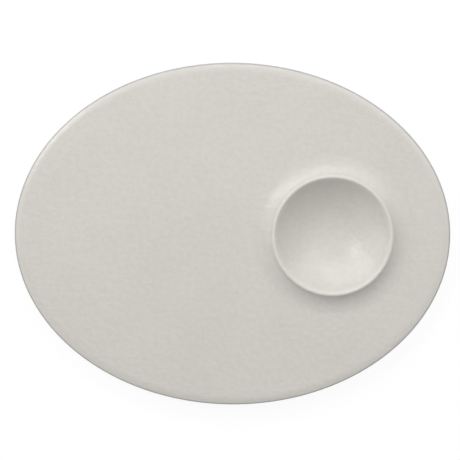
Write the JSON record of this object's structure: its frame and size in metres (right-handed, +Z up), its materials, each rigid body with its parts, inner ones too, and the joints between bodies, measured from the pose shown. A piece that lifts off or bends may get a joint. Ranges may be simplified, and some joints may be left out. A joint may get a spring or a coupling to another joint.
{
  "type": "plate with dip well",
  "caption": "Flat oval serving plate with a soft edge and a raised round dip well near one end, standing on an oval foot ring.",
  "frame": {"origin": "on the table, under the middle of the oval plate", "axes": "+X along the plate's length towards the dip well, +Z up from the foot ring to the well's rim"},
  "size_m": [0.32, 0.252, 0.0235],
  "materials": {
    "glaze": "satin",
    "bare_clay": "matte"
  },
  "bodies": {
    "root": {"plate_slab": "glaze", "dip_bowl": "glaze", "well_collar": "glaze", "foot_ring": "bare_clay"}
  },
  "joints": []
}
